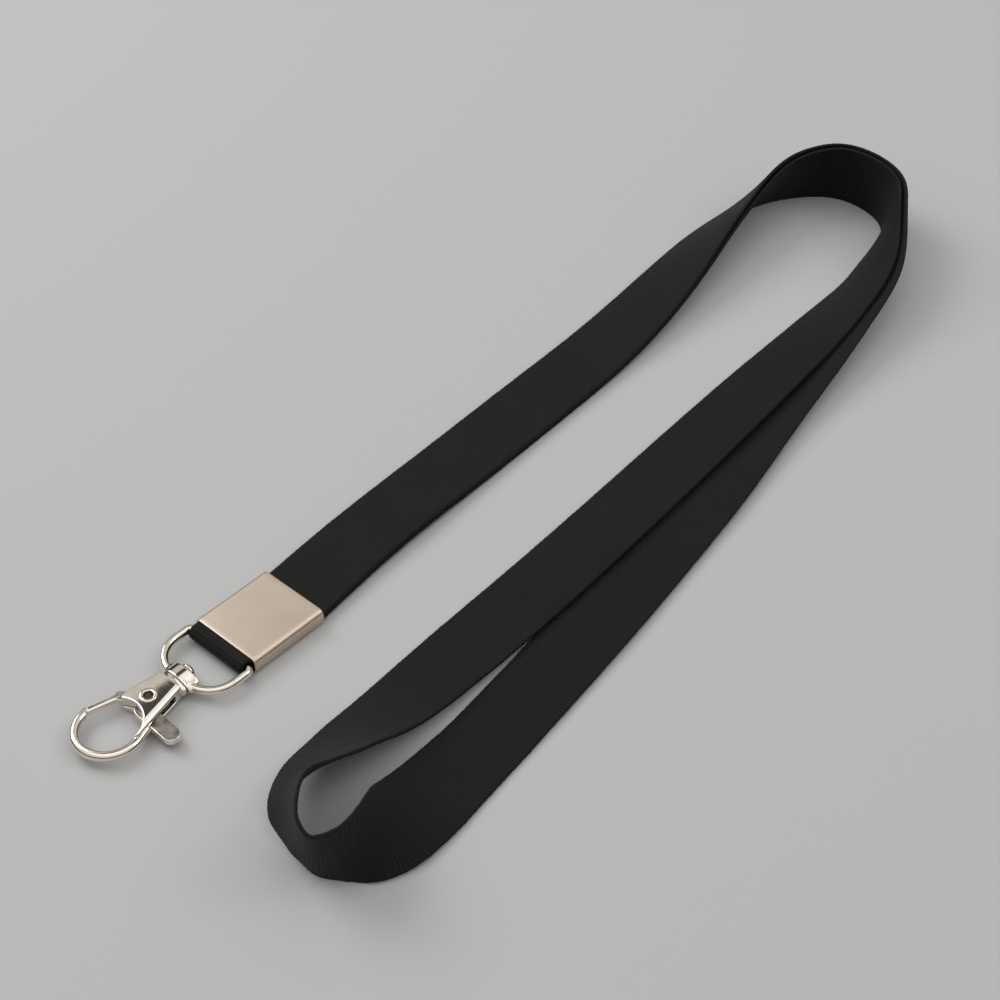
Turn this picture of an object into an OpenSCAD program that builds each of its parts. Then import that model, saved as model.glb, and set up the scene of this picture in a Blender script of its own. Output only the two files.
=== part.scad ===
// Lanyard badge holder: a doubled neck strap, a sheet-metal crimp, a D-ring
// with a cast swivel boss, and a trigger snap hook.
// The origin is the middle of the crimp's underside. +Y runs from the hook
// along the crimp to the strap's far bend, and +Z is up off the table.

/* [Strap] */
// Width of the webbing
strap_w = 15.6; // [12:0.2:20]
// Thickness of the webbing
strap_t = 0.8; // [0.6:0.05:1]
// Air between two stacked layers of webbing
layer_gap = 0.2; // [0.15:0.05:0.4]
// How much narrower the webbing is where it wraps the ring's bar
fold_tuck = 1.2; // [1:0.1:3]

/* [Crimp] */
// Length of the crimp along the strap
crimp_l = 17.5; // [12:0.5:25]
// Thickness of the crimp's sheet metal
crimp_sheet = 0.4; // [0.3:0.05:0.6]
// Room left at each side of the webbing inside the crimp
crimp_side_clear = 0.05; // [0.05:0.05:0.5]
// Outer radius of the crimp's rolled sides
crimp_side_r = 1.2; // [0.8:0.1:1.6]
// Width of the seam where the crimp's flaps meet underneath
seam_w = 0.3; // [0.2:0.1:1]

/* [D-ring] */
// Diameter of the ring's wire
ring_wire_d = 1.7; // [1.4:0.1:2.2]
// Clearance between the ring's bar and the webbing round it
bar_clear = 0.08; // [0.05:0.01:0.2]
// Room between the ring's side arms and the edges of the fold
arm_clear = 0.2; // [0.1:0.1:1]
// Distance from the crimp's end to the middle of the ring's bar
bar_reach = 1.3; // [1.2:0.1:3]
// Distance from the bar's middle to the middle of the bow's wire
ring_h = 10; // [8:0.2:14]
// Bend radius of the bow's two corners
bow_r = 6.2; // [5:0.1:7]
// Bend radius of the two corners beside the bar
bar_corner_r = 1; // [0.9:0.05:1.1]

/* [Swivel] */
// Diameter of the hook's post
post_d = 2.4; // [2:0.1:3]
// Radial clearance of the post in the boss
post_clear = 0.05; // [0.02:0.01:0.1]
// Width of the boss
boss_w = 7.4; // [6:0.2:9]
// Length of the boss along the post
boss_l = 2.8; // [2:0.1:3.4]
// How far the boss's flange stands out on each side
flange_lip = 0.4; // [0.2:0.1:0.8]
// Thickness of the boss's flange
flange_t = 0.6; // [0.4:0.1:1]
// End play of the post in the boss, at each face
end_play = 0.1; // [0.05:0.05:0.2]
// Diameter of the post's peened head
head_d = 3.7; // [3.2:0.1:4.5]
// Height of the peened head
head_h = 1.3; // [1:0.1:1.4]

/* [Hook body] */
// Thickness of the hook's body
body_t = 3.8; // [3.4:0.1:4.6]
// Height of the slot that the lever turns in
slot_h = 1.5; // [1.3:0.1:1.7]
// Width of the collar at the hook's neck
collar_w = 7; // [6:0.2:8]
// Length of the collar along the post
collar_l = 0.9; // [0.6:0.1:1.4]
// Radius of the claw's middle line
claw_r = 6.1; // [5:0.1:8]
// Diameter of the claw's round section
claw_d = 2; // [1.6:0.1:2.4]
// Distance from the collar's face to the middle of the claw
claw_reach = 15.6; // [14.5:0.1:18]
// Distance from the collar's face to the rivet
rivet_reach = 6.3; // [6:0.1:7]

/* [Lever] */
// Diameter of the gate bar
gate_d = 1.5; // [1.3:0.1:1.8]
// Clearance over and under the lever in its slot
lever_clear = 0.1; // [0.05:0.05:0.2]
// Gap between the gate's end and the claw's nose
gate_gap = 0.16; // [0.1:0.02:0.3]
// Width of the thumb tab
tab_w = 3.4; // [2.8:0.1:4]
// How far the tab reaches from the rivet
tab_reach = 10.7; // [9:0.1:13]

/* [Rivet and spring] */
// Outer diameter of the rivet's shank
rivet_d = 2.5; // [2:0.1:2.8]
// Diameter of the hole through the rivet
rivet_hole_d = 1.9; // [1.4:0.1:2]
// Diameter of the rivet's rolled heads
rivet_head_d = 3.4; // [3:0.1:4]
// Height of the rivet's rolled heads
rivet_head_h = 0.2; // [0.1:0.05:0.3]
// Radial clearance of the rivet in the lever
rivet_clear = 0.05; // [0.02:0.01:0.1]
// Wire diameter of the lever's spring
spring_wire = 0.25; // [0.2:0.05:0.3]

/* [Hidden] */
$fn = 48;

// Layers of webbing, from the table up
pitch = strap_t + layer_gap;
layer_z = [for (i = [0:2]) crimp_sheet + strap_t / 2 + i * pitch];
pair_z = (layer_z[0] + layer_z[1]) / 2;
crimp_h = 2 * crimp_sheet + strap_t + 2 * pitch;
crimp_w = strap_w + 2 * (crimp_side_clear + crimp_sheet);

// Swivel axis: high enough for the rivet's lower head to clear the table
axis_z = body_t / 2 + rivet_head_h;

// Ring
ring_r = ring_wire_d / 2;
bar_y = -crimp_l / 2 - bar_reach;
fold_w = strap_w - fold_tuck;
ring_half = fold_w / 2 + arm_clear + ring_r;
bow_y = bar_y - ring_h;
fold_r = ring_r + bar_clear + strap_t / 2;

// Boss and hook, from the ring towards the claw
// the boss stands proud of the bow's wire on the hook's side
boss_cover = 0.2;
boss_front = bow_y - ring_r - boss_cover;
boss_back = boss_front + boss_l;
neck_y = boss_front - end_play;
rivet_y = neck_y - rivet_reach;
rivet_x = 0.3;
claw_y = neck_y - claw_reach;
head_y = boss_back + end_play;
half_t = body_t / 2 - 0.05;

// Route of the doubled strap, middle of its two layers, out from the crimp:
// x, y, lift off the table, roll (0 lies flat, 90 stands on its left edge)
pair_route = [
    [-0.5, 12, 0.3, 0], [-2, 26, 0, 2], [-2.8, 40, 0, 3], [-3.6, 58, 0, 1], [-4.7, 81, 0, 0],
    [-5.7, 104, 0, 2], [-7, 120, 0, 9], [-9, 136, 0, 21], [-11, 150, 0, 35], [-12, 162, 0, 47],
    [-12, 171, 0, 58], [-10.5, 179, 0, 69], [-6.5, 186.5, 0, 78], [-1, 191, 0, 84],
    [8.5, 191, 0, 88], [15.5, 187, 0, 94], [19.5, 180, 0, 106]
];
// Route of the inner run back from the bend, the near turn, where the webbing
// stands on its outer edge, and the outer run up to the bend again
loop_route = [
    [22.5, 171, 0, 126], [25.5, 160, 0, 143], [27, 140, 0, 160], [28, 117, 0, 168],
    [29.4, 93, 0, 173], [31, 68, 0, 175], [32.3, 44, 0, 176], [33.2, 20, 0, 175],
    [34.2, 1, 0, 166], [35.2, -12, 1.5, 152], [37, -22, 3.5, 140], [40, -29.5, 3.5, 118],
    [45, -33.5, 1.5, 92], [50.5, -33.8, 0, 78], [54.2, -29.6, 0, 92], [55, -22, 0, 128],
    [53.7, -13, 0, 158], [52, -2, 0, 174], [50.6, 10, 0, 180], [48.6, 27, 0, 181],
    [46.2, 46, 0, 182], [43, 67, 0, 182], [39.6, 88, 0, 184], [34.4, 114, 0, 188],
    [31.5, 134, 0, 198], [29.5, 148, 0, 207], [27.8, 160, 0, 217], [24.5, 171, 0, 234]
];
// How much further apart the two layers stand where the strap is on edge
edge_spread = 0.5;
route_steps = 4;

// ---- Helpers ----

// A straight bar w wide with round ends, drawn flat, from a to b
module bar2d(a, b, w) {
    turn = atan2(b[1] - a[1], b[0] - a[0]);
    polygon([for (end = [[a, 90], [b, 270]], i = [0:12])
        let (t = turn + end[1] + 15 * i)
        end[0] + w / 2 * [cos(t), sin(t)]]);
}

// A rod of diameter d from a to b
module rod(a, b, d) {
    v = b - a;
    translate(a)
        rotate([0, acos(v[2] / norm(v)), atan2(v[1], v[0])])
            cylinder(d = d, h = norm(v));
}

// A piece of wire bent to radius r in the XY plane, from angle a0 through sweep
module wire_arc(r, d, a0, sweep) {
    rotate(a0) rotate_extrude(angle = sweep) translate([r, 0]) circle(d = d);
}

// A disc across the post, w wide and h high, with a crowned top and bottom
module oval_disc(w, h, l) {
    crown_r = 0.75 * w;
    intersection() {
        rotate([90, 0, 0]) cylinder(d = w, h = l);
        translate([0, 0, crown_r - h / 2]) rotate([90, 0, 0]) cylinder(r = crown_r, h = l);
        translate([0, 0, h / 2 - crown_r]) rotate([90, 0, 0]) cylinder(r = crown_r, h = l);
    }
}

function unit(v) = v / norm(v);

// One value of a smooth curve through rows, at u rows along it
function on_curve(rows, u) =
    let (n = len(rows) - 1,
         i = min(floor(u), n - 1),
         t = u - i,
         p1 = rows[i],
         p2 = rows[i + 1],
         p0 = i > 0 ? rows[i - 1] : 2 * p1 - p2,
         p3 = i < n - 1 ? rows[i + 2] : 2 * p2 - p1)
    (2 * p1 + (p2 - p0) * t + (2 * p0 - 5 * p1 + 4 * p2 - p3) * t * t
        + (3 * p1 - 3 * p2 + p3 - p0) * t * t * t) / 2;

// Middle and width direction of a band at u rows along a route. half_z is
// half the thickness that lies on the table.
function level(rows, u, half_z) =
    let (r = on_curve(rows, u))
    [r[0], r[1], r[2] + strap_w / 2 * abs(sin(r[3])) + half_z * abs(cos(r[3]))];
function heading(rows, u) =
    unit(on_curve(rows, min(u + 0.05, len(rows) - 1)) - on_curve(rows, max(u - 0.05, 0)));
function across(rows, u) =
    let (h = heading(rows, u),
         k = norm([h[0], h[1]]),
         roll = on_curve(rows, u)[3])
    [cos(roll) * h[1] / k, -cos(roll) * h[0] / k, sin(roll)];

// The four corners of the webbing's section. m is its middle, w the unit
// vector across it, n the unit vector through it.
function section(m, w, n, width) =
    [for (c = [[1, 1], [-1, 1], [-1, -1], [1, -1]])
        m + c[0] * width / 2 * w + c[1] * strap_t / 2 * n];

// A closed skin over a list of four-cornered sections
module skin(rings) {
    n = len(rings);
    polyhedron(
        points = [for (r = rings) each r],
        faces = concat(
            [[0, 1, 2, 3]],
            [for (i = [0:n - 2], k = [0:3])
                let (a = 4 * i + k, b = 4 * i + (k + 1) % 4)
                each k < 2 ? [[a, a + 4, b], [b, a + 4, b + 4]]
                           : [[a, a + 4, b + 4], [a, b + 4, b]]],
            [[4 * n - 1, 4 * n - 2, 4 * n - 3, 4 * n - 4]]),
        convexity = 10);
}

// ---- Strap ----

// Distance of a layer's middle from the middle of the pair, and the runs of
// the pair: the inner layer of the bend lies underneath at the crimp
function pair_frame(u, side) =
    let (w = across(pair_route, u),
         h = heading(pair_route, u),
         n = unit(cross(w, [h[0], h[1], 0])),
         roll = on_curve(pair_route, u)[3],
         m = level(pair_route, u, (pitch + strap_t) / 2))
    [m + side * pitch / 2 * (1 + edge_spread * pow(sin(roll), 2)) * n, w];
function loop_frame(u) = [level(loop_route, u, strap_t / 2), across(loop_route, u)];

// The tail: inside the crimp on top, round the ring's bar and back underneath.
// It leaves the bar past the top, so that its slope down into the crimp clears the wire.
function tail_frames() = concat(
    [[[0, crimp_l / 2 - 1, layer_z[2]], strap_w], [[0, 1 - crimp_l / 2, layer_z[2]], strap_w]],
    [for (a = [67.5:22.5:270])
        [[0, bar_y + fold_r * cos(a), axis_z + fold_r * sin(a)], fold_w]],
    [[[0, 1 - crimp_l / 2, layer_z[0]], strap_w], [[0, crimp_l / 2 - 1, layer_z[0]], strap_w]]);

module strap() color([0.1, 0.1, 0.11]) {
    pair_n = route_steps * (len(pair_route) - 1);
    loop_n = route_steps * (len(loop_route) - 1);
    tail = [for (f = tail_frames()) [f[0], [1, 0, 0], f[1]]];
    inner = [for (i = [0:pair_n]) let (f = pair_frame(i / route_steps, -1)) [f[0], f[1], strap_w]];
    loop = [for (i = [1:loop_n - 1]) let (f = loop_frame(i / route_steps)) [f[0], f[1], strap_w]];
    // the outer layer lies the other way up
    outer = [for (i = [pair_n:-1:0]) let (f = pair_frame(i / route_steps, 1)) [f[0], -f[1], strap_w]];
    end = [for (y = [crimp_l / 2 - 1, 1 - crimp_l / 2]) [[0, y, layer_z[1]], [-1, 0, 0], strap_w]];
    path = concat(tail, inner, loop, outer, end);
    last = len(path) - 1;
    skin([for (i = [0:last])
        let (t = path[min(i + 1, last)][0] - path[max(i - 1, 0)][0],
             w0 = path[i][1],
             w = unit(w0 - t * (w0 * t) / (t * t)),
             n = unit(cross(t, w)))
        section(path[i][0], w, n, path[i][2])]);
}

// ---- Crimp ----

// Flat outline of a slab w wide and h high with rolled sides of radius r
module rolled_slab(w, h, r) {
    for (x = [-1, 1], z = [-1, 1]) translate([x * (w / 2 - r), z * (h / 2 - r)]) circle(r);
    square([w - 2 * r, h], center = true);
    square([w, h - 2 * r], center = true);
}

module crimp() color([0.75, 0.69, 0.63]) {
    inside = 2 * crimp_sheet;
    translate([0, crimp_l / 2, crimp_h / 2]) rotate([90, 0, 0]) linear_extrude(crimp_l) difference() {
        rolled_slab(crimp_w, crimp_h, crimp_side_r);
        rolled_slab(crimp_w - inside, crimp_h - inside, crimp_side_r - crimp_sheet);
        translate([crimp_w / 4, -crimp_h / 2]) square([seam_w, 3 * crimp_sheet], center = true);
    }
}

// ---- D-ring ----

module d_ring() color([0.82, 0.8, 0.76]) translate([0, 0, axis_z]) {
    arm_top = bar_y - bar_corner_r;
    arm_end = bow_y + bow_r;
    rod([-ring_half + bar_corner_r, bar_y, 0], [ring_half - bar_corner_r, bar_y, 0], ring_wire_d);
    for (s = [-1, 1]) {
        translate([s * (ring_half - bar_corner_r), arm_top])
            wire_arc(bar_corner_r, ring_wire_d, s > 0 ? 0 : 90, 90);
        rod([s * ring_half, arm_top, 0], [s * ring_half, arm_end, 0], ring_wire_d);
        translate([s * (ring_half - bow_r), arm_end])
            wire_arc(bow_r, ring_wire_d, s > 0 ? 270 : 180, 90);
    }
    difference() {
        union() {
            rod([-ring_half + bow_r, bow_y, 0], [ring_half - bow_r, bow_y, 0], ring_wire_d);
            translate([0, boss_back, 0]) oval_disc(boss_w, 2 * half_t, boss_l);
            translate([0, boss_front + flange_t, 0])
                oval_disc(boss_w + 2 * flange_lip, 2 * half_t, flange_t);
        }
        translate([0, boss_back + 1, 0])
            rotate([90, 0, 0]) cylinder(r = post_d / 2 + post_clear, h = boss_l + 2);
    }
}

// ---- Hook ----

// Right edge of the body and arm: a line that leans out to touch the claw
lean = 17;
arm_top_x = (claw_r + claw_d / 2) / cos(lean) - (neck_y - collar_l - claw_y) * tan(lean);
claw_touch = [claw_r * cos(lean), claw_y + claw_r * sin(lean)];
// Left edge of the body, which leans out less
body_top_y = neck_y - collar_l;
body_left = [[-2.6, body_top_y], [-3.7, rivet_y - 2.2], [-3.2, rivet_y - 3.4]];
throat_c = [0, claw_y + 1.2];
throat_r = claw_r - 0.7;
slot_top = rivet_y + 3.7;
slot_bottom = rivet_y - 4.4;
gate_root = [-4.5, rivet_y - 2.9];
gate_end = [-claw_r, claw_y];
seam_r = norm(gate_end - [rivet_x, rivet_y]);

module body_outline() {
    difference() {
        polygon(concat(body_left, [claw_touch + [-1, 0], claw_touch, [arm_top_x, body_top_y]]));
        translate(throat_c) circle(throat_r);
    }
}

module hook_body() color([0.82, 0.8, 0.76]) translate([0, 0, axis_z]) {
    arm_top = [arm_top_x - claw_d / 2, body_top_y - 1, 0];
    difference() {
        union() {
            // peened post, collar and waist
            translate([0, head_y, 0]) rotate([90, 0, 0]) cylinder(d = post_d, h = head_y - neck_y + 0.5);
            translate([0, head_y, 0]) intersection() {
                rotate([-90, 0, 0]) cylinder(d = head_d, h = head_h);
                translate([0, head_h - head_d * 0.62, 0]) sphere(d = head_d * 1.24);
            }
            translate([0, neck_y, 0]) oval_disc(collar_w, 2 * half_t, collar_l);
            // slotted body
            translate([0, 0, -body_t / 2]) linear_extrude(body_t) body_outline();
            // arm and claw
            rod([claw_touch[0], claw_touch[1], 0], arm_top, claw_d);
            translate([0, claw_y, 0]) wire_arc(claw_r, claw_d, 170, 190 + lean);
        }
        translate([-30, slot_bottom, -slot_h / 2]) cube([60, slot_top - slot_bottom, slot_h]);
        translate([rivet_x, rivet_y, -body_t]) cylinder(d = rivet_d, h = 2 * body_t);
        // the nose is cut to the path that the gate's end swings through
        intersection() {
            translate([rivet_x, rivet_y, -claw_d]) cylinder(r = seam_r + gate_gap / 2, h = 2 * claw_d);
            translate([-claw_r - claw_d, claw_y - claw_r / 2, -claw_d])
                cube([claw_r, claw_r, 2 * claw_d]);
        }
    }
}

lever_t = slot_h - 2 * lever_clear;
hub_r = rivet_d / 2 + 1.1;
coil_r = rivet_d / 2 + rivet_clear + 0.15 + spring_wire / 2;
recess_depth = lever_t / 2;
// Direction of the spring's moving leg, and how far it stands out of the coil
moving_leg = -110;
leg_l = 1;

module lever() color([0.62, 0.6, 0.58]) translate([rivet_x, rivet_y, axis_z]) {
    pivot = [rivet_x, rivet_y];
    root = gate_root - pivot;
    tip = gate_end - pivot;
    difference() {
        union() {
            translate([0, 0, -lever_t / 2]) linear_extrude(lever_t) {
                circle(hub_r);
                bar2d([0, 0], root, 2.2);
                bar2d([1, -2.2], [tab_reach - tab_w / 2, -2.6], tab_w);
            }
            intersection() {
                rod([root[0], root[1], 0], [tip[0], tip[1], 0] * 1.05, gate_d);
                translate([0, 0, -gate_d]) cylinder(r = seam_r - gate_gap / 2, h = 2 * gate_d);
            }
        }
        translate([0, 0, -lever_t]) cylinder(r = rivet_d / 2 + rivet_clear, h = 2 * lever_t);
        // recess for the spring's coil, and a notch for its moving leg
        translate([0, 0, lever_t / 2 - recess_depth]) cylinder(r = coil_r + spring_wire, h = lever_t);
        rotate(moving_leg) translate([0, -spring_wire, lever_t / 2 - recess_depth])
            cube([coil_r + leg_l + 0.2, 2 * spring_wire, lever_t]);
        // room in the hub's rim for the fixed leg, over the lever's travel
        translate([0, 0, lever_t / 2 - recess_depth]) linear_extrude(lever_t)
            polygon([[0, 0], [hub_r + 1, -0.45], [hub_r + 1, hub_r + 1], [1, hub_r + 1]]);
    }
}

module lever_rivet() color([0.85, 0.83, 0.8]) translate([rivet_x, rivet_y, axis_z]) {
    difference() {
        union() {
            translate([0, 0, -body_t / 2]) cylinder(d = rivet_d, h = body_t);
            for (z = [-body_t / 2 - rivet_head_h, body_t / 2])
                translate([0, 0, z]) cylinder(d = rivet_head_d, h = rivet_head_h);
        }
        translate([0, 0, -body_t]) cylinder(d = rivet_hole_d, h = 2 * body_t);
    }
}

// Torsion spring: two turns lying in the lever's recess, one leg in the
// lever's notch and one resting on the end of the body's slot
module lever_spring() color([0.6, 0.6, 0.62]) translate([rivet_x, rivet_y, axis_z]) {
    low = lever_t / 2 - recess_depth + 0.02 + spring_wire / 2;
    for (i = [0:1])
        translate([0, 0, low + 0.9 * i * spring_wire])
            rotate_extrude() translate([coil_r, 0]) circle(d = spring_wire);
    rotate(moving_leg) rod([coil_r, 0, low], [coil_r + leg_l, 0, low], spring_wire);
    leg_z = low + 0.9 * spring_wire;
    rod([coil_r, 0, leg_z], [coil_r, slot_top - rivet_y - 0.02, leg_z], spring_wire);
}

strap();
crimp();
d_ring();
hook_body();
lever();
lever_rivet();
lever_spring();
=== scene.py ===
"""Looks of the lanyard badge holder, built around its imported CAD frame.

Shapes are worked out in millimetres and turned into metres by MM. The strap
follows the same route rows as the CAD band. The ring, hook and lever are
softened, finely meshed copies of their CAD nodes. The crimp, the rivet and
the spring are built here from the CAD's sizes.
"""

import math

import bmesh
import bpy
import numpy as np
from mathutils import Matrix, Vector


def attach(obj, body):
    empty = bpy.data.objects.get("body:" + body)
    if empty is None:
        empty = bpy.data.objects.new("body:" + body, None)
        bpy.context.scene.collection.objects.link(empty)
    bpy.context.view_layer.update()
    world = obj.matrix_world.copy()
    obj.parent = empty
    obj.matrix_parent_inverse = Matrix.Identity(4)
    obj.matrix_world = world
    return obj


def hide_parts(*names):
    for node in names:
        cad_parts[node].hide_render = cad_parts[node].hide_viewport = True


MM = 0.001

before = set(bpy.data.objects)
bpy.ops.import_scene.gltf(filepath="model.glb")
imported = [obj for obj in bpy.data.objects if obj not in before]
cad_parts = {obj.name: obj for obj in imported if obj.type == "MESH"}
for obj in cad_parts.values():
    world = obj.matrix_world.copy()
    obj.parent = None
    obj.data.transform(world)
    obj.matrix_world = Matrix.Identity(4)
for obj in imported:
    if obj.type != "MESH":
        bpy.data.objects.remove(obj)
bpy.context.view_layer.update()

# ---- Sizes shared with the CAD model, in millimetres ----
STRAP_W = 15.6
STRAP_T = 0.8
# From one layer of webbing to the next, middle to middle
PITCH = 1.0
# The webbing is tucked in where it goes round the ring's bar
FOLD_W = 14.4
FOLD_R = 1.33
BAR_Y = -10.05
AXIS_Z = 2.1
# How much further apart the pair's two layers stand where they are on edge
EDGE_SPREAD = 0.5
SHEET = 0.4
CRIMP_L = 17.5
CRIMP_SIDE_CLEAR = 0.05
CRIMP_SIDE_R = 1.2
SEAM_W = 0.3
CRIMP_W = STRAP_W + 2 * (CRIMP_SIDE_CLEAR + SHEET)
CRIMP_H = 2 * SHEET + STRAP_T + 2 * PITCH
LAYER_Z = [SHEET + STRAP_T / 2 + i * PITCH for i in range(3)]
BODY_T = 3.8
RIVET_X, RIVET_Y = 0.3, -27.5
RIVET_D = 2.5
RIVET_HOLE_D = 1.9
RIVET_HEAD_D = 3.4
RIVET_HEAD_H = 0.2

# x, y, lift off the table, roll: the doubled strap out from the crimp
PAIR_ROUTE = [
    [-0.5, 12, 0.3, 0], [-2, 26, 0, 2], [-2.8, 40, 0, 3], [-3.6, 58, 0, 1], [-4.7, 81, 0, 0],
    [-5.7, 104, 0, 2], [-7, 120, 0, 9], [-9, 136, 0, 21], [-11, 150, 0, 35], [-12, 162, 0, 47],
    [-12, 171, 0, 58], [-10.5, 179, 0, 69], [-6.5, 186.5, 0, 78], [-1, 191, 0, 84],
    [8.5, 191, 0, 88], [15.5, 187, 0, 94], [19.5, 180, 0, 106],
]
# The run back, the near turn on its edge, and the run up to the bend again
LOOP_ROUTE = [
    [22.5, 171, 0, 126], [25.5, 160, 0, 143], [27, 140, 0, 160], [28, 117, 0, 168],
    [29.4, 93, 0, 173], [31, 68, 0, 175], [32.3, 44, 0, 176], [33.2, 20, 0, 175],
    [34.2, 1, 0, 166], [35.2, -12, 1.5, 152], [37, -22, 3.5, 140], [40, -29.5, 3.5, 118],
    [45, -33.5, 1.5, 92], [50.5, -33.8, 0, 78], [54.2, -29.6, 0, 92], [55, -22, 0, 128],
    [53.7, -13, 0, 158], [52, -2, 0, 174], [50.6, 10, 0, 180], [48.6, 27, 0, 181],
    [46.2, 46, 0, 182], [43, 67, 0, 182], [39.6, 88, 0, 184], [34.4, 114, 0, 188],
    [31.5, 134, 0, 198], [29.5, 148, 0, 207], [27.8, 160, 0, 217], [24.5, 171, 0, 234],
]

# ---- Camera ----


def add_camera():
    """A 72 mm lens from the near right, 43 degrees up."""
    azimuth, elevation, distance = math.radians(42.3), math.radians(43.0), 405 * MM
    target = Vector((9.65, 56.67, 0)) * MM
    away = Vector((
        math.sin(azimuth) * math.cos(elevation),
        -math.cos(azimuth) * math.cos(elevation),
        math.sin(elevation),
    ))
    data = bpy.data.cameras.new("camera")
    data.lens = 72
    data.sensor_width = 36
    data.clip_start = 0.01
    camera = bpy.data.objects.new("camera", data)
    camera.location = target + away * distance
    camera.rotation_euler = (-away).to_track_quat("-Z", "Y").to_euler()
    bpy.context.scene.collection.objects.link(camera)
    bpy.context.scene.camera = camera


# ---- Materials ----


class Nodes:
    """A short way to build the node tree of a material or a world."""

    def __init__(self, owner, shader):
        owner.use_nodes = True
        self.owner = owner
        self.tree = owner.node_tree
        self.shader = self.tree.nodes[shader]

    def add(self, kind, **settings):
        node = self.tree.nodes.new("ShaderNode" + kind)
        for key, value in settings.items():
            setattr(node, key, value)
        return node

    def link(self, source, target):
        self.tree.links.new(source, target)

    def feed(self, socket, source):
        """Links a value to one of the shader's own sockets."""
        self.link(source, self.shader.inputs[socket])

    def fix(self, socket, value):
        """Sets a value that is the same all over on the shader's own socket."""
        self.shader.inputs[socket].default_value = value

    def split(self, vector):
        node = self.add("SeparateXYZ")
        self.link(vector, node.inputs[0])
        return node.outputs

    def noise(self, scale, detail, roughness=0.5):
        """Noise over the piece, where scale is in cells per metre."""
        node = self.add("TexNoise")
        node.inputs["Scale"].default_value = scale
        node.inputs["Detail"].default_value = detail
        node.inputs["Roughness"].default_value = roughness
        self.link(self.add("TexCoord").outputs["Object"], node.inputs["Vector"])
        return node.outputs["Fac"]

    def ramp(self, value, stops):
        """Maps a value onto colours through (position, colour) stops."""
        node = self.add("ValToRGB")
        ramp = node.color_ramp
        while len(ramp.elements) < len(stops):
            ramp.elements.new(0.5)
        for element, (position, colour) in zip(ramp.elements, stops):
            element.position = position
            element.color = (*colour, 1)
        self.link(value, node.inputs["Fac"])
        return node.outputs["Color"]

    def grey_ramp(self, value, low, high):
        """Maps a 0 to 1 value onto greys, from one (position, level) to another."""
        return self.ramp(value, [(low[0], (low[1],) * 3), (high[0], (high[1],) * 3)])

    def math(self, operation, a, b=None):
        node = self.add("Math", operation=operation)
        self.link(a, node.inputs[0])
        if isinstance(b, (int, float)):
            node.inputs[1].default_value = b
        elif b is not None:
            self.link(b, node.inputs[1])
        return node.outputs[0]

    def mix(self, factor, a, b):
        """Mixes two colours, each given as a value or as another node's output."""
        node = self.add("Mix", data_type="RGBA")
        sockets = {s.identifier: s for s in node.inputs}
        self.link(factor, sockets["Factor_Float"])
        for key, colour in (("A_Color", a), ("B_Color", b)):
            if isinstance(colour, bpy.types.NodeSocket):
                self.link(colour, sockets[key])
            else:
                sockets[key].default_value = (*colour, 1)
        return [s for s in node.outputs if s.identifier == "Result_Color"][0]

    def bump(self, height, strength, distance, normal=None):
        node = self.add("Bump")
        node.inputs["Strength"].default_value = strength
        node.inputs["Distance"].default_value = distance
        self.link(height, node.inputs["Height"])
        if normal:
            self.link(normal, node.inputs["Normal"])
        return node.outputs["Normal"]


def material_nodes(name):
    return Nodes(bpy.data.materials.new(name), "Principled BSDF")


def webbing_material():
    """Near-black polyester webbing: each cross rib is a row of fine yarn."""
    m = material_nodes("webbing")
    # the map is in ribs along the strap and in yarns across it
    across, along, _ = m.split(m.add("UVMap", uv_map="weave").outputs["UV"])
    lean = m.math("ADD", across, m.math("MULTIPLY", along, 0.5))
    yarn = m.math("ABSOLUTE", m.math("SINE", m.math("MULTIPLY", lean, math.pi)))
    rib = m.math("ABSOLUTE", m.math("SINE", m.math("MULTIPLY", along, math.pi)))
    fuzz = m.noise(9000, 3)
    cloud = m.noise(60, 3)
    height = m.math("ADD", m.math("MULTIPLY", yarn, 0.6), m.math("MULTIPLY", rib, 0.6))
    height = m.math("ADD", height, m.math("MULTIPLY", fuzz, 0.25))
    # painted shade: the grooves between the ribs are darker than the rib crests
    painted_groove_shade = m.mix(rib, (0.0015, 0.0015, 0.0017), (0.0085, 0.0084, 0.0086))
    worn = m.grey_ramp(cloud, (0.3, 0.0), (0.75, 0.5))
    m.feed("Normal", m.bump(height, 0.8, 0.00012))
    m.feed("Base Color", m.mix(worn, painted_groove_shade, (0.0105, 0.0103, 0.0102)))
    m.feed("Roughness", m.grey_ramp(fuzz, (0.3, 0.55), (0.7, 0.75)))
    m.fix("Specular IOR Level", 0.18)
    m.fix("Sheen Weight", 0.04)
    m.fix("Sheen Roughness", 0.4)
    return m.owner


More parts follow.
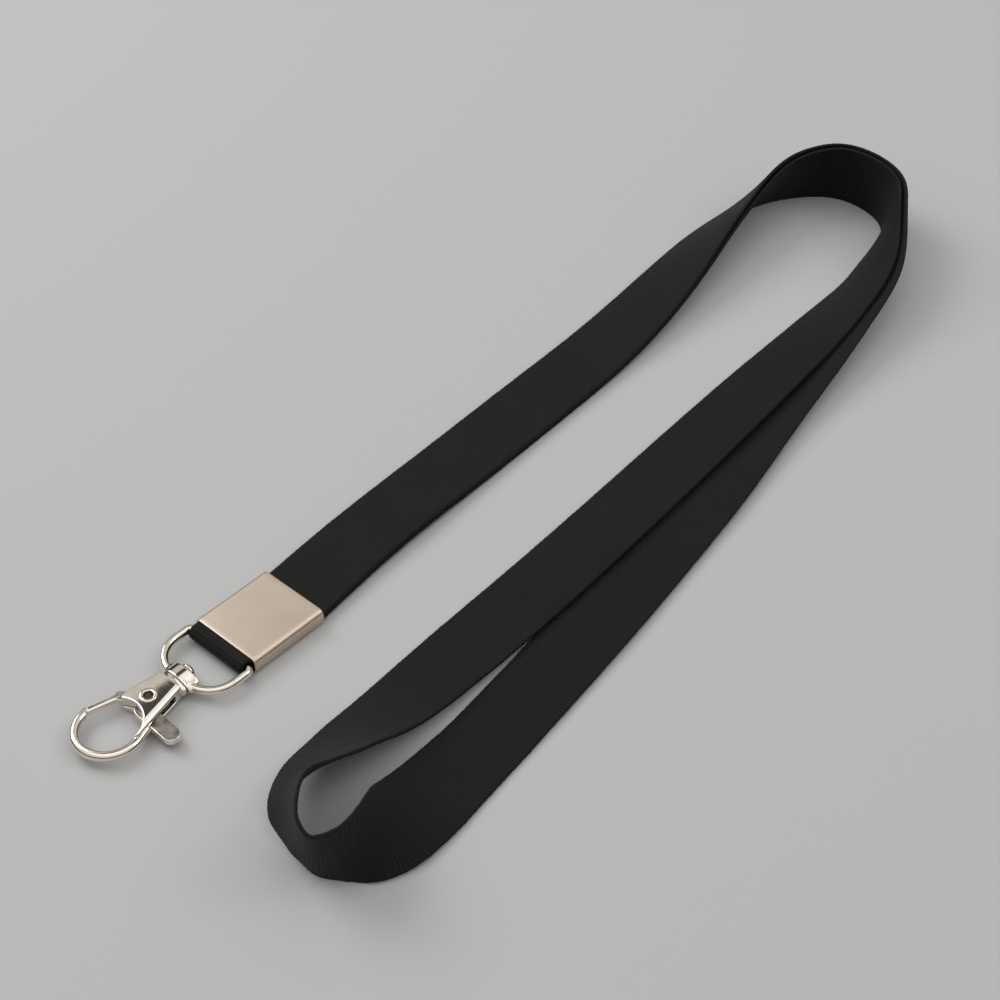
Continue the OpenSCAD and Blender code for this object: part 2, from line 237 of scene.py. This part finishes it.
def metal_material(name, bright, flat_painted_reflection, flat_share, roughness, flat_roughness, grain=0.35):
    """Plated metal: polished where it curves, speckled on flats, with painted reflection making
    the flats greyer or darker.

    flat_share is how far a flat goes from the bright finish to its painted reflection colour.
    """
    m = material_nodes(name)
    facing = m.split(m.add("TexCoord").outputs["Normal"])[2]
    flat = m.grey_ramp(m.math("ABSOLUTE", facing), (0.93, 0.0), (0.995, 1.0))
    speckle = m.noise(2600, 6, roughness=0.7)
    # painted reflection: flats, in noise patches, take a greyer or darker colour for the
    # reflection they catch; the speckle and roughness are the real cast finish
    painted_reflection_patches = m.grey_ramp(m.noise(350, 4), (0.35, flat_share * 0.5), (0.62, flat_share))
    flat_finish_and_painted_reflection = m.math("MULTIPLY", flat, painted_reflection_patches)
    spots = m.grey_ramp(speckle, (0.42, 0.0), (0.62, 1.0))
    spotted = m.mix(spots, tuple(c * 0.55 for c in flat_painted_reflection), flat_painted_reflection)
    fine = m.grey_ramp(speckle, (0.3, roughness * 0.7), (0.7, roughness * 1.5))
    rough = m.grey_ramp(speckle, (0.3, flat_roughness * 0.8), (0.7, flat_roughness * 1.25))
    waves = m.bump(m.noise(420, 2), 0.12, 0.00012)
    # painted reflection on the flats, mixed over the bright metal
    m.feed("Base Color", m.mix(flat_finish_and_painted_reflection, bright, spotted))
    m.feed("Roughness", m.mix(flat_finish_and_painted_reflection, fine, rough))
    m.feed("Normal", m.bump(speckle, grain, 0.000012, waves))
    m.fix("Metallic", 1.0)
    return m.owner


def crimp_material():
    """Satin nickel on rolled sheet: a warm grey with a fine pressed grain."""
    m = material_nodes("crimp_steel")
    grain = m.noise(4200, 5, roughness=0.65)
    tint = m.grey_ramp(m.noise(120, 3), (0.3, 0.0), (0.7, 1.0))
    m.feed("Base Color", m.mix(tint, (0.61, 0.515, 0.435), (0.66, 0.56, 0.475)))
    m.feed("Roughness", m.grey_ramp(grain, (0.3, 0.3), (0.7, 0.44)))
    m.feed("Normal", m.bump(grain, 0.25, 0.00001))
    m.fix("Metallic", 1.0)
    return m.owner


def floor_material():
    """A plain pale grey with hardly any gloss."""
    m = material_nodes("floor")
    m.feed("Base Color", m.mix(m.noise(3, 2), (0.500, 0.507, 0.516), (0.510, 0.517, 0.526)))
    m.fix("Roughness", 0.7)
    m.fix("Specular IOR Level", 0.2)
    return m.owner


# ---- Mesh helpers ----


def new_piece(name, mesh, material):
    mesh.materials.clear()
    mesh.materials.append(material)
    for polygon in mesh.polygons:
        polygon.use_smooth = True
    piece = bpy.data.objects.new(name, mesh)
    bpy.context.scene.collection.objects.link(piece)
    return piece


def mesh_from(name, points, faces):
    """A mesh from points in millimetres, with its faces turned outwards."""
    mesh = bpy.data.meshes.new(name)
    mesh.from_pydata((np.asarray(points) * MM).tolist(), [], faces)
    mesh.update()
    work = bmesh.new()
    work.from_mesh(mesh)
    bmesh.ops.recalc_face_normals(work, faces=work.faces)
    work.to_mesh(mesh)
    work.free()
    return mesh


def tube_faces(rings, around):
    """Quads that join rings of the same number of points, one after another."""
    faces = []
    for i in range(rings - 1):
        for k in range(around):
            a, b = i * around + k, i * around + (k + 1) % around
            faces.append((a, b, b + around, a + around))
    return faces


def evaluated_mesh(obj):
    graph = bpy.context.evaluated_depsgraph_get()
    return bpy.data.meshes.new_from_object(obj.evaluated_get(graph))


def mesh_points(mesh):
    points = np.empty(len(mesh.vertices) * 3)
    mesh.vertices.foreach_get("co", points)
    return points.reshape(-1, 3)


def softened(node, name, material, passes, shape=None):
    """A fine copy of a CAD node whose edges are eased like a polished casting's.

    shape changes the points of the fine mesh, in millimetres, before they are eased.
    """
    voxel, same_point = 0.09, 1e-7
    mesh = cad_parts[node].data.copy()
    work = bmesh.new()
    work.from_mesh(mesh)
    bmesh.ops.remove_doubles(work, verts=work.verts, dist=same_point)
    bmesh.ops.scale(work, vec=(1 / MM,) * 3, verts=work.verts)
    work.to_mesh(mesh)
    work.free()
    rough = bpy.data.objects.new(name + "_rough", mesh)
    bpy.context.scene.collection.objects.link(rough)
    remesh = rough.modifiers.new("remesh", "REMESH")
    remesh.mode = "VOXEL"
    remesh.voxel_size = voxel
    if shape:
        rough.data = evaluated_mesh(rough)
        rough.modifiers.clear()
        points = mesh_points(rough.data)
        shape(points)
        rough.data.vertices.foreach_set("co", points.ravel())
    ease = rough.modifiers.new("ease", "SMOOTH")
    ease.factor = 0.5
    ease.iterations = passes
    fine = evaluated_mesh(rough)
    bpy.data.objects.remove(rough)
    fine.vertices.foreach_set("co", (mesh_points(fine) * MM).ravel())
    fine.update()
    piece = new_piece(name, fine, material)
    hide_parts(node)
    return piece


# ---- Strap ----

# From one cross rib to the next, in millimetres
RIB = 0.75
RINGS_PER_RIB = 4
YARN = 0.42
# Half of the section: the share of the half width, and half the thickness there
HALF_SECTION = ((0, 0.345), (0.4, 0.345), (0.8, 0.345), (0.95, 0.345), (0.985, 0.31), (1, 0.16))


def on_curve(rows, u):
    """A point on the smooth curve through the rows, where u counts rows."""
    n = len(rows) - 1
    i = min(int(u), n - 1)
    t = u - i
    p1, p2 = rows[i], rows[i + 1]
    p0 = rows[i - 1] if i > 0 else 2 * p1 - p2
    p3 = rows[i + 2] if i < n - 1 else 2 * p2 - p1
    return (2 * p1 + (p2 - p0) * t + (2 * p0 - 5 * p1 + 4 * p2 - p3) * t * t
            + (3 * p1 - 3 * p2 + p3 - p0) * t ** 3) / 2


def band(route, half_z, side=0):
    """Middles and width directions along a route, at one layer of the pair."""
    steps_per_row, look = 16, 0.05
    rows = np.array(route, float)
    last = len(rows) - 1
    middles, widths = [], []
    for u in np.linspace(0, last, last * steps_per_row + 1):
        x, y, lift, roll = on_curve(rows, u)
        roll = math.radians(roll)
        step = on_curve(rows, min(u + look, last)) - on_curve(rows, max(u - look, 0))
        ahead = np.array([step[0], step[1], 0.0]) / math.hypot(step[0], step[1])
        width = np.array([math.cos(roll) * ahead[1], -math.cos(roll) * ahead[0], math.sin(roll)])
        through = np.cross(width, ahead)
        through /= np.linalg.norm(through)
        height = lift + STRAP_W / 2 * abs(math.sin(roll)) + half_z * abs(math.cos(roll))
        apart = side * PITCH / 2 * (1 + EDGE_SPREAD * math.sin(roll) ** 2)
        middles.append(np.array([x, y, height]) + apart * through)
        widths.append(width)
    return middles, widths


def strap_path():
    """The whole strap as one band: middles, width directions and widths."""
    stop = CRIMP_L / 2 - 1
    turn = [math.radians(a) for a in range(70, 271, 10)]
    tail = [(0, y, LAYER_Z[2]) for y in (stop, -stop)]
    tail += [(0, BAR_Y + FOLD_R * math.cos(a), AXIS_Z + FOLD_R * math.sin(a)) for a in turn]
    tail += [(0, y, LAYER_Z[0]) for y in (-stop, stop)]
    tail_w = [STRAP_W] * 2 + [FOLD_W] * len(turn) + [STRAP_W] * 2
    pair_z = (PITCH + STRAP_T) / 2
    inner, inner_w = band(PAIR_ROUTE, pair_z, -1)
    loop, loop_w = band(LOOP_ROUTE, STRAP_T / 2)
    outer, outer_w = band(PAIR_ROUTE, pair_z, 1)
    end = [(0, y, LAYER_Z[1]) for y in (stop, -stop)]
    # steps left out where two stretches meet, so that they run into each other
    gap = 8
    middles = tail + inner[:-gap] + loop[gap:-gap] + outer[::-1][gap:] + end
    right = np.array([1.0, 0, 0])
    widths = [right] * len(tail) + inner_w[:-gap] + loop_w[gap:-gap]
    widths += [-w for w in outer_w[::-1][gap:]] + [-right] * 2
    full = tail_w + [STRAP_W] * (len(middles) - len(tail_w))
    return np.array(middles, float), np.array(widths, float), np.array(full, float)


def eased(values, reach):
    """Values along the strap, averaged over a bell of the given reach in steps."""
    span = np.arange(-3 * reach, 3 * reach + 1)
    bell = np.exp(-0.5 * (span / reach) ** 2)
    bell /= bell.sum()
    padded = np.pad(values, ((3 * reach, 3 * reach), (0, 0)), mode="edge")
    return np.stack([np.convolve(column, bell, "valid") for column in padded.T], 1)


def strap_rings():
    """Evenly spaced along the strap: middle, width direction, normal and full width."""
    free_from, free_over = 9, 4
    bend_reach, twist_reach = 14, 34
    middles, widths, full = strap_path()
    run = np.r_[0, np.cumsum(np.linalg.norm(np.diff(middles, axis=0), axis=1))]
    count = int(run[-1] / RIB) * RINGS_PER_RIB
    s = np.linspace(0, run[-1], count + 1)
    mid = np.stack([np.interp(s, run, column) for column in middles.T], 1)
    wide = np.stack([np.interp(s, run, column) for column in widths.T], 1)
    # outside the crimp the webbing bends smoothly
    free = np.clip((mid[:, 1:2] - free_from) / free_over, 0, 1)
    mid = mid + free * (eased(mid, bend_reach) - mid)
    wide = wide + free * (eased(wide, twist_reach) - wide)
    ahead = np.gradient(mid, axis=0)
    ahead /= np.linalg.norm(ahead, axis=1, keepdims=True)
    wide -= ahead * (wide * ahead).sum(1, keepdims=True)
    wide /= np.linalg.norm(wide, axis=1, keepdims=True)
    return mid, wide, np.cross(ahead, wide), np.interp(s, run, full)


def selvage_loops(phase):
    """How far the weft's turns stand out at the edges, where they aren't equally tight."""
    loops = 0.05 * np.abs(np.sin(math.pi * phase / 2 + 0.3))
    return loops * (1 + 0.9 * np.sin(phase * 0.83) * np.sin(phase * 0.37 + 1))


def add_weave_map(mesh, stations, phase):
    """The weave's map: yarns across in u, ribs along in v."""
    yarns = np.r_[stations, stations[::-1]] * STRAP_W / 2 / YARN
    u = np.tile(yarns, len(phase))
    v = np.repeat(phase, len(yarns))
    layer = mesh.uv_layers.new(name="weave")
    corner = np.empty(len(mesh.loops), int)
    mesh.loops.foreach_get("vertex_index", corner)
    layer.data.foreach_set("uv", np.stack([u[corner], v[corner]], 1).ravel())


def add_strap(material):
    """The strap: cross ribs of yarn along its whole length and looped selvages."""
    loop_room, rib_rise, loops_from = 0.1, 0.045, 0.96
    mid, wide, through, broad = strap_rings()
    phase = np.arange(len(mid)) / RINGS_PER_RIB
    crown = np.abs(np.sin(math.pi * phase))
    loops = selvage_loops(phase)
    section = [(-share, half) for share, half in HALF_SECTION[:0:-1]] + list(HALF_SECTION)
    rings = []
    for face, order in ((1, section), (-1, section[::-1])):
        for share, half in order:
            edge = (abs(share) > loops_from) * np.sign(share)
            reach = share * (broad / 2 - loop_room) + edge * loops
            thick = face * (half + rib_rise * crown * (abs(share) < 1))
            rings.append(mid + reach[:, None] * wide + thick[:, None] * through)
    points = np.stack(rings, 1)
    count, around = points.shape[:2]
    index = np.arange(count * around).reshape(count, around)
    beside = np.roll(index, -1, axis=1)
    quads = np.stack([index[:-1], index[1:], beside[1:], beside[:-1]], -1).reshape(-1, 4)
    caps = [index[0].tolist(), index[-1][::-1].tolist()]
    mesh = mesh_from("strap", points.reshape(-1, 3), quads.tolist() + caps)
    add_weave_map(mesh, np.array([share for share, _ in section]), phase)
    piece = new_piece("webbing_strap", mesh, material)
    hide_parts("strap")
    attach(piece, "strap_and_crimp")


# ---- Crimp ----


def crimp_outline(inset):
    """Sheet section from one side of the seam to the other: outside, then inside."""
    seam_x = CRIMP_W / 4
    sides = []
    for depth, keep in ((0, inset), (SHEET, -inset)):
        w, h, r = (size - depth - keep for size in (CRIMP_W / 2, CRIMP_H / 2, CRIMP_SIDE_R))
        corners = (
            (-w + r, -h + r, 270), (-w + r, h - r, 180), (w - r, h - r, 90), (w - r, -h + r, 0),
        )
        path = [(seam_x - SEAM_W / 2, -h)]
        for x, z, start in corners:
            for step in range(0, 91, 10):
                a = math.radians(start - step)
                path.append((x + r * math.cos(a), z + r * math.sin(a)))
        path.append((seam_x + SEAM_W / 2, -h))
        sides.append(path)
    return sides


def add_crimp(material):
    """The folded sheet-metal crimp, with eased edges at its two ends."""
    # how far the section draws in, and at what distance from the end
    ends = [(0.10, 0), (0.05, 0.03), (0.015, 0.08), (0, 0.16)]
    stations = [(inset, -CRIMP_L / 2 + y) for inset, y in ends]
    stations += [(0, y) for y in np.linspace(-CRIMP_L / 2 + 1, CRIMP_L / 2 - 1, 12)]
    stations += [(inset, CRIMP_L / 2 - y) for inset, y in ends[::-1]]
    points = []
    for inset, y in stations:
        outside, inside = crimp_outline(inset)
        points += [(x, y, z + CRIMP_H / 2) for x, z in outside + inside[::-1]]
    n = len(outside)
    around = 2 * n
    faces = tube_faces(len(stations), around)
    for base in (0, (len(stations) - 1) * around):
        for k in range(n - 1):
            faces.append((base + k, base + k + 1, base + around - 2 - k, base + around - 1 - k))
    piece = new_piece("crimp_shell", mesh_from("crimp", points, faces), material)
    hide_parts("crimp")
    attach(piece, "strap_and_crimp")


# ---- Hardware ----


def crown_body(points):
    """The casting's faces: slightly domed across, with a broad bevel along the arm."""
    claw_y, claw_fade, neck_y, neck_fade = -37.5, 3, -21.3, 0.6
    dome_x, dome_bend = 0.4, 0.011
    bevel_w, bevel_bend = 1.1, 0.5
    # the faces move fully, and nothing within this height of the middle moves
    still = 0.9
    # the body's right edge in plan, from the neck to the claw
    (ax, ay), (bx, by) = (2.93, -22.1), (5.83, -35.0)
    x, y, z = points.T
    body = np.clip((y - claw_y) / claw_fade, 0, 1) * np.clip((neck_y - y) / neck_fade, 0, 1)
    above = z - AXIS_Z
    dome = dome_bend * (x - dome_x) ** 2
    inside = ((by - ay) * (x - ax) - (bx - ax) * (y - ay)) / math.hypot(bx - ax, by - ay)
    bevel = bevel_bend * np.clip(bevel_w - inside, 0, bevel_w) ** 2
    share = np.clip((abs(above) - still) / (BODY_T / 2 - still), 0, 1)
    points[:, 2] -= np.sign(above) * share * body * (dome + bevel)


def rivet_profile():
    """Radius and height round the tube's wall, and whether the peening marks it."""
    steps = 14
    centre, half = (RIVET_HOLE_D + RIVET_HEAD_D) / 4, (RIVET_HEAD_D - RIVET_HOLE_D) / 4
    profile = []
    for side in (1, -1):
        for k in range(steps + 1):
            t = math.pi * (k if side > 0 else steps - k) / steps
            height = side * (BODY_T / 2 + RIVET_HEAD_H * math.sin(t))
            profile.append((centre - half * math.cos(t), height, math.cos(t) > 0))
        if side > 0:
            profile += [(RIVET_D / 2, z, False) for z in (BODY_T / 2, -BODY_T / 2)]
    return profile


def add_rivet(material):
    """The hollow rivet: a thin tube with both ends rolled over into a peened ring."""
    turns, lobes, depth = 96, 6, 0.045
    profile = rivet_profile()
    n = len(profile)
    points, faces = [], []
    for i in range(turns):
        a = 2 * math.pi * i / turns
        for r, z, marked in profile:
            r += depth * math.cos(lobes * a) * marked
            points.append((RIVET_X + r * math.cos(a), RIVET_Y + r * math.sin(a), AXIS_Z + z))
        following = (i + 1) % turns
        for k in range(n):
            beside = (k + 1) % n
            faces.append((i * n + k, i * n + beside, following * n + beside, following * n + k))
    piece = new_piece("hollow_rivet", mesh_from("rivet", points, faces), material)
    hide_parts("lever_rivet")
    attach(piece, "hook")


def wire_mesh(name, path, diameter):
    """A round wire along a path, closed at both ends."""
    sides = 12
    path = np.asarray(path, float)
    ahead = np.gradient(path, axis=0)
    ahead /= np.linalg.norm(ahead, axis=1, keepdims=True)
    side = np.cross(ahead, (0.0, 0.0, 1.0))
    side /= np.linalg.norm(side, axis=1, keepdims=True)
    up = np.cross(side, ahead)
    angles = 2 * math.pi * np.arange(sides) / sides
    rings = [path + diameter / 2 * (math.cos(a) * side + math.sin(a) * up) for a in angles]
    points = np.stack(rings, 1).reshape(-1, 3)
    faces = tube_faces(len(path), sides)
    faces.append(tuple(range(sides)))
    faces.append(tuple(range(len(points) - sides, len(points)))[::-1])
    return mesh_from(name, points, faces)


def add_spring(material):
    """The lever's torsion spring: the coil and fixed leg stay with the hook's body,
    and the moving leg turns with the lever that it presses on."""
    wire, coil_r, low, pitch = 0.25, 1.575, 0.145, 0.25
    start, fixed_reach, moving_reach = -110, 3.5, 1.0
    centre = np.array([RIVET_X, RIVET_Y, AXIS_Z])
    turn = np.radians(np.arange(start, 361, 10))
    rise = low + pitch * (turn - turn[0]) / (2 * math.pi)
    coil = np.stack([coil_r * np.cos(turn), coil_r * np.sin(turn), rise], 1)
    leg = [(coil_r, y, rise[-1]) for y in np.linspace(0.3, fixed_reach, 6)]
    way = np.array([math.cos(turn[0]), math.sin(turn[0]), 0])
    arm = [way * (coil_r + r) + (0, 0, low) for r in np.linspace(0, moving_reach, 5)]
    halves = (("spring_coil", np.r_[coil, leg], "hook"), ("spring_leg", np.array(arm), "lever"))
    for name, path, body in halves:
        piece = new_piece(name, wire_mesh(name, path + centre, wire), material)
        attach(piece, body)
    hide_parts("lever_spring")


def add_hardware():
    nickel = metal_material(
        "nickel", bright=(0.86, 0.80, 0.72), flat_painted_reflection=(0.62, 0.57, 0.51),
        flat_share=0.4, roughness=0.05, flat_roughness=0.13,
    )
    # the lever's flats are painted near black: painted reflection of a dark part of the room,
    # while its rims stay bright metal
    dark = metal_material(
        "nickel_dark", bright=(0.84, 0.79, 0.72), flat_painted_reflection=(0.10, 0.088, 0.08),
        flat_share=1.0, roughness=0.08, flat_roughness=0.3, grain=0.8,
    )
    wire = metal_material(
        "spring_steel", bright=(0.55, 0.55, 0.57), flat_painted_reflection=(0.4, 0.4, 0.4),
        flat_share=0.2, roughness=0.25, flat_roughness=0.3,
    )
    castings = (
        ("d_ring", "ring_casting", "ring", "nickel", nickel, 22, None),
        ("hook_body", "hook_casting", "hook", "nickel", nickel, 22, crown_body),
        ("lever", "trigger_lever", "lever", "nickel_dark", dark, 10, None),
    )
    add_rivet(nickel)
    for node, name, body, slot, material, passes, shape in castings:
        piece = softened(node, name, material, passes, shape)
        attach(piece, body)
    add_spring(wire)


# ---- Stage ----


def area_light(name, place, size, power):
    """A soft light turned towards the middle of the object."""
    aim = Vector((0.02, 0.06, 0))
    data = bpy.data.lights.new(name, "AREA")
    data.shape = "RECTANGLE"
    data.size, data.size_y = size
    data.energy = power
    light = bpy.data.objects.new(name, data)
    light.location = place
    light.rotation_euler = (aim - Vector(place)).to_track_quat("-Z", "Y").to_euler()
    bpy.context.scene.collection.objects.link(light)


def studio_world():
    """A bright ceiling over a dim room with a pale horizon, and a dark flag to reflect."""
    # sine of the elevation, colour
    heights = (
        (0.08, (0.50, 0.50, 0.50)), (0.12, (0.05, 0.045, 0.04)), (0.24, (0.03, 0.025, 0.02)),
        (0.36, (0.16, 0.14, 0.12)), (0.45, (0.80, 0.76, 0.70)), (0.80, (0.84, 0.80, 0.75)),
        (0.90, (1.35, 1.35, 1.34)),
    )
    flag_way, flag_level, strength = (-0.47, 0.27, 0.84), 0.1, 0.85
    flag_outer, flag_inner = math.radians(10.9), math.radians(9.6)
    w = Nodes(bpy.data.worlds.new("studio"), "Background")
    way = w.add("TexCoord").outputs["Generated"]
    sky = w.ramp(w.split(way)[2], heights)
    # the flag is a soft-edged disc in one direction
    nearness = w.add("VectorMath", operation="DOT_PRODUCT")
    w.link(way, nearness.inputs[0])
    nearness.inputs[1].default_value = Vector(flag_way).normalized()
    edge = w.add("MapRange")
    edge.inputs["From Min"].default_value = math.cos(flag_outer)
    edge.inputs["From Max"].default_value = math.cos(flag_inner)
    edge.inputs["To Min"].default_value = 1.0
    edge.inputs["To Max"].default_value = flag_level
    w.link(nearness.outputs["Value"], edge.inputs["Value"])
    flagged = w.add("VectorMath", operation="SCALE")
    w.link(sky, flagged.inputs[0])
    w.link(edge.outputs["Result"], flagged.inputs["Scale"])
    w.feed("Color", flagged.outputs[0])
    w.fix("Strength", strength)
    return w.owner


def add_stage():
    size = 6.0
    mesh = bpy.data.meshes.new("floor")
    corners = [(-size, -size, 0), (size, -size, 0), (size, size, 0), (-size, size, 0)]
    mesh.from_pydata(corners, [], [(0, 1, 2, 3)])
    floor = bpy.data.objects.new("floor", mesh)
    mesh.materials.append(floor_material())
    bpy.context.scene.collection.objects.link(floor)
    bpy.context.scene.world = studio_world()
    area_light("key", (-0.72, -0.02, 0.66), (0.55, 0.55), 3.4)
    area_light("fill", (0.5, 0.6, 0.7), (0.4, 0.3), 0.8)
    bpy.context.scene.view_settings.view_transform = "Standard"


# ---- Assembly ----

add_camera()
add_stage()
add_strap(webbing_material())
add_crimp(crimp_material())
add_hardware()
